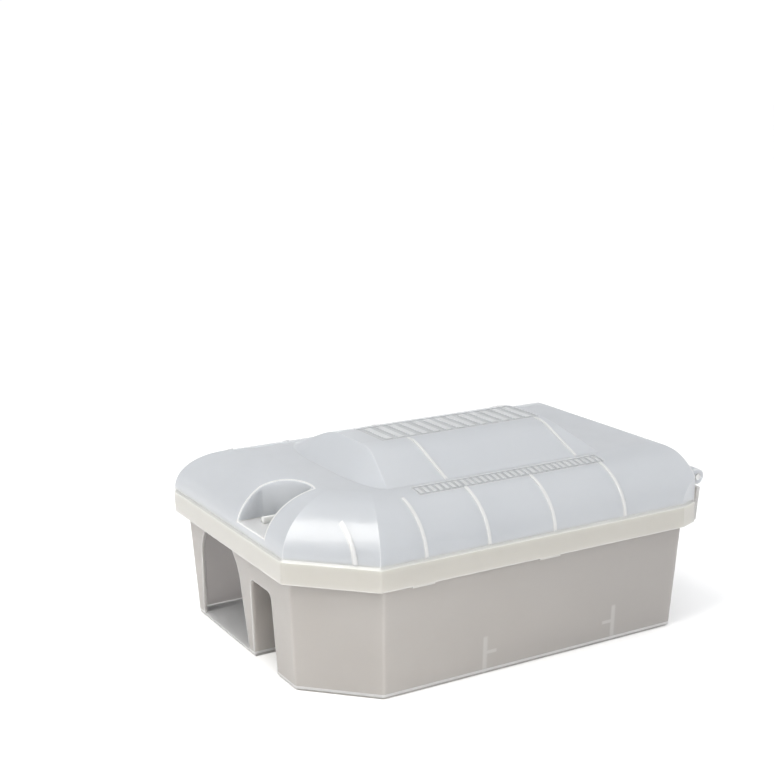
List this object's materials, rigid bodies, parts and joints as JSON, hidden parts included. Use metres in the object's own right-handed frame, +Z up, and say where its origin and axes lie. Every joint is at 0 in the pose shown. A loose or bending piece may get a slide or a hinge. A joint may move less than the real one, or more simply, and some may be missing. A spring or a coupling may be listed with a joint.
{
  "type": "bait station",
  "caption": "Lockable translucent plastic rat bait station: tray with an arched entrance and tunnel, hinged domed lid with a key pocket, removable bait tray.",
  "frame": {"origin": "on the ground, at the middle of the object's bounding box", "axes": "+X along the station towards the hinge end, -Y is the front wall with the large cut corner, +Z up"},
  "size_m": [0.2937, 0.2084, 0.1335],
  "materials": {
    "tray_plastic": "translucent natural polypropylene, satin",
    "lid_plastic": "translucent natural polypropylene, satin gloss",
    "insert_plastic": "satin",
    "catch_plastic": "satin",
    "pin_steel": "bright drawn",
    "rod_steel": "bright galvanised"
  },
  "bodies": {
    "base": {"base_tray": "tray_plastic", "hinge_pin": "pin_steel"},
    "cover": {"lid": "lid_plastic"},
    "insert": {"bait_tray": "insert_plastic", "bait_rod_front": "rod_steel", "bait_rod_back": "rod_steel"},
    "catch_back": {"latch_hook_back": "catch_plastic"},
    "catch_front": {"latch_hook_front": "catch_plastic"}
  },
  "joints": [
    {"name": "lid_hinge", "type": "hinge", "parent": "base", "child": "cover", "pos_m": [0.1417, 0, 0.0995], "axis": [0, 1, 0], "range_deg": [0, 110]},
    {"name": "tray_lift", "type": "slide", "parent": "base", "child": "insert", "axis": [0, 0, 1], "range_m": [0, 0.05]},
    {"name": "catch_back_flex", "type": "hinge", "parent": "base", "child": "catch_back", "pos_m": [-0.127, -0.008, 0.06], "axis": [-1, 0, 0], "range_deg": [0, 3.2], "stiffness_Nm_per_rad": 0.3, "springref_deg": 5.73},
    {"name": "catch_front_flex", "type": "hinge", "parent": "base", "child": "catch_front", "pos_m": [-0.127, -0.026, 0.06], "axis": [1, 0, 0], "range_deg": [0, 3.2], "stiffness_Nm_per_rad": 0.3, "springref_deg": 5.73}
  ]
}
